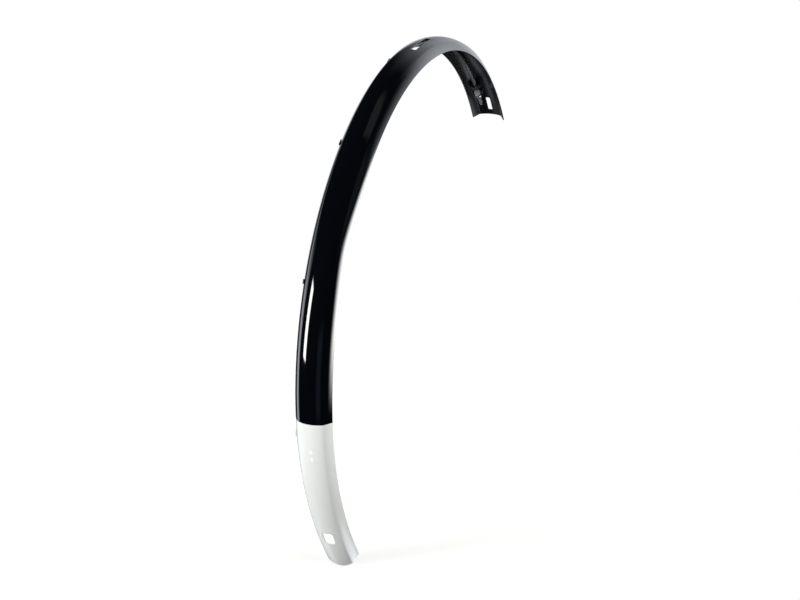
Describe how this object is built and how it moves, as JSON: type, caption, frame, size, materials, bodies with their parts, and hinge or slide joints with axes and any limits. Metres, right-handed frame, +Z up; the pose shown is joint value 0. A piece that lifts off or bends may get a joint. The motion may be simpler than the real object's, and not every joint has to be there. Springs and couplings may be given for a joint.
{
  "type": "bicycle mudguard",
  "caption": "Rear bicycle mudguard: a long curved channel blade, black with a white tail, slotted for fixing, with a clipped lighting lead inside that ends in a plug.",
  "frame": {"origin": "on the outer crown of the blade, in the middle of the slot for the seat-stay bridge", "axes": "+X forward on the bicycle, +Y to its left, +Z up, square to the crown at the bridge slot"},
  "size_m": [0.6687, 0.053, 0.6122],
  "materials": {
    "blade_gloss": "black, high gloss; the tail is lacquered white",
    "lead_sheath": "dark grey, satin sheath",
    "clip_black": "black, moulded",
    "clip_white": "white, moulded",
    "plug_grey": "dark grey, moulded",
    "plug_bright": "bright nickel",
    "core_sheath": "black insulation",
    "receptacle": "plain moulded sleeve"
  },
  "bodies": {
    "root": {"blade": "blade_gloss", "lead": "lead_sheath", "lead_clip_1": "clip_white", "lead_clip_2": "clip_black", "lead_clip_3": "clip_black", "lead_clip_4": "clip_black", "lead_clip_5": "clip_black", "plug_collar": "plug_grey", "plug_body": "plug_grey", "plug_ring": "plug_bright", "plug_nose": "plug_grey", "plug_contact_1": "plug_bright", "plug_contact_2": "plug_bright", "tail_core_1": "core_sheath", "tail_core_2": "core_sheath", "tail_receptacle_1": "receptacle", "tail_receptacle_2": "receptacle"}
  },
  "joints": []
}
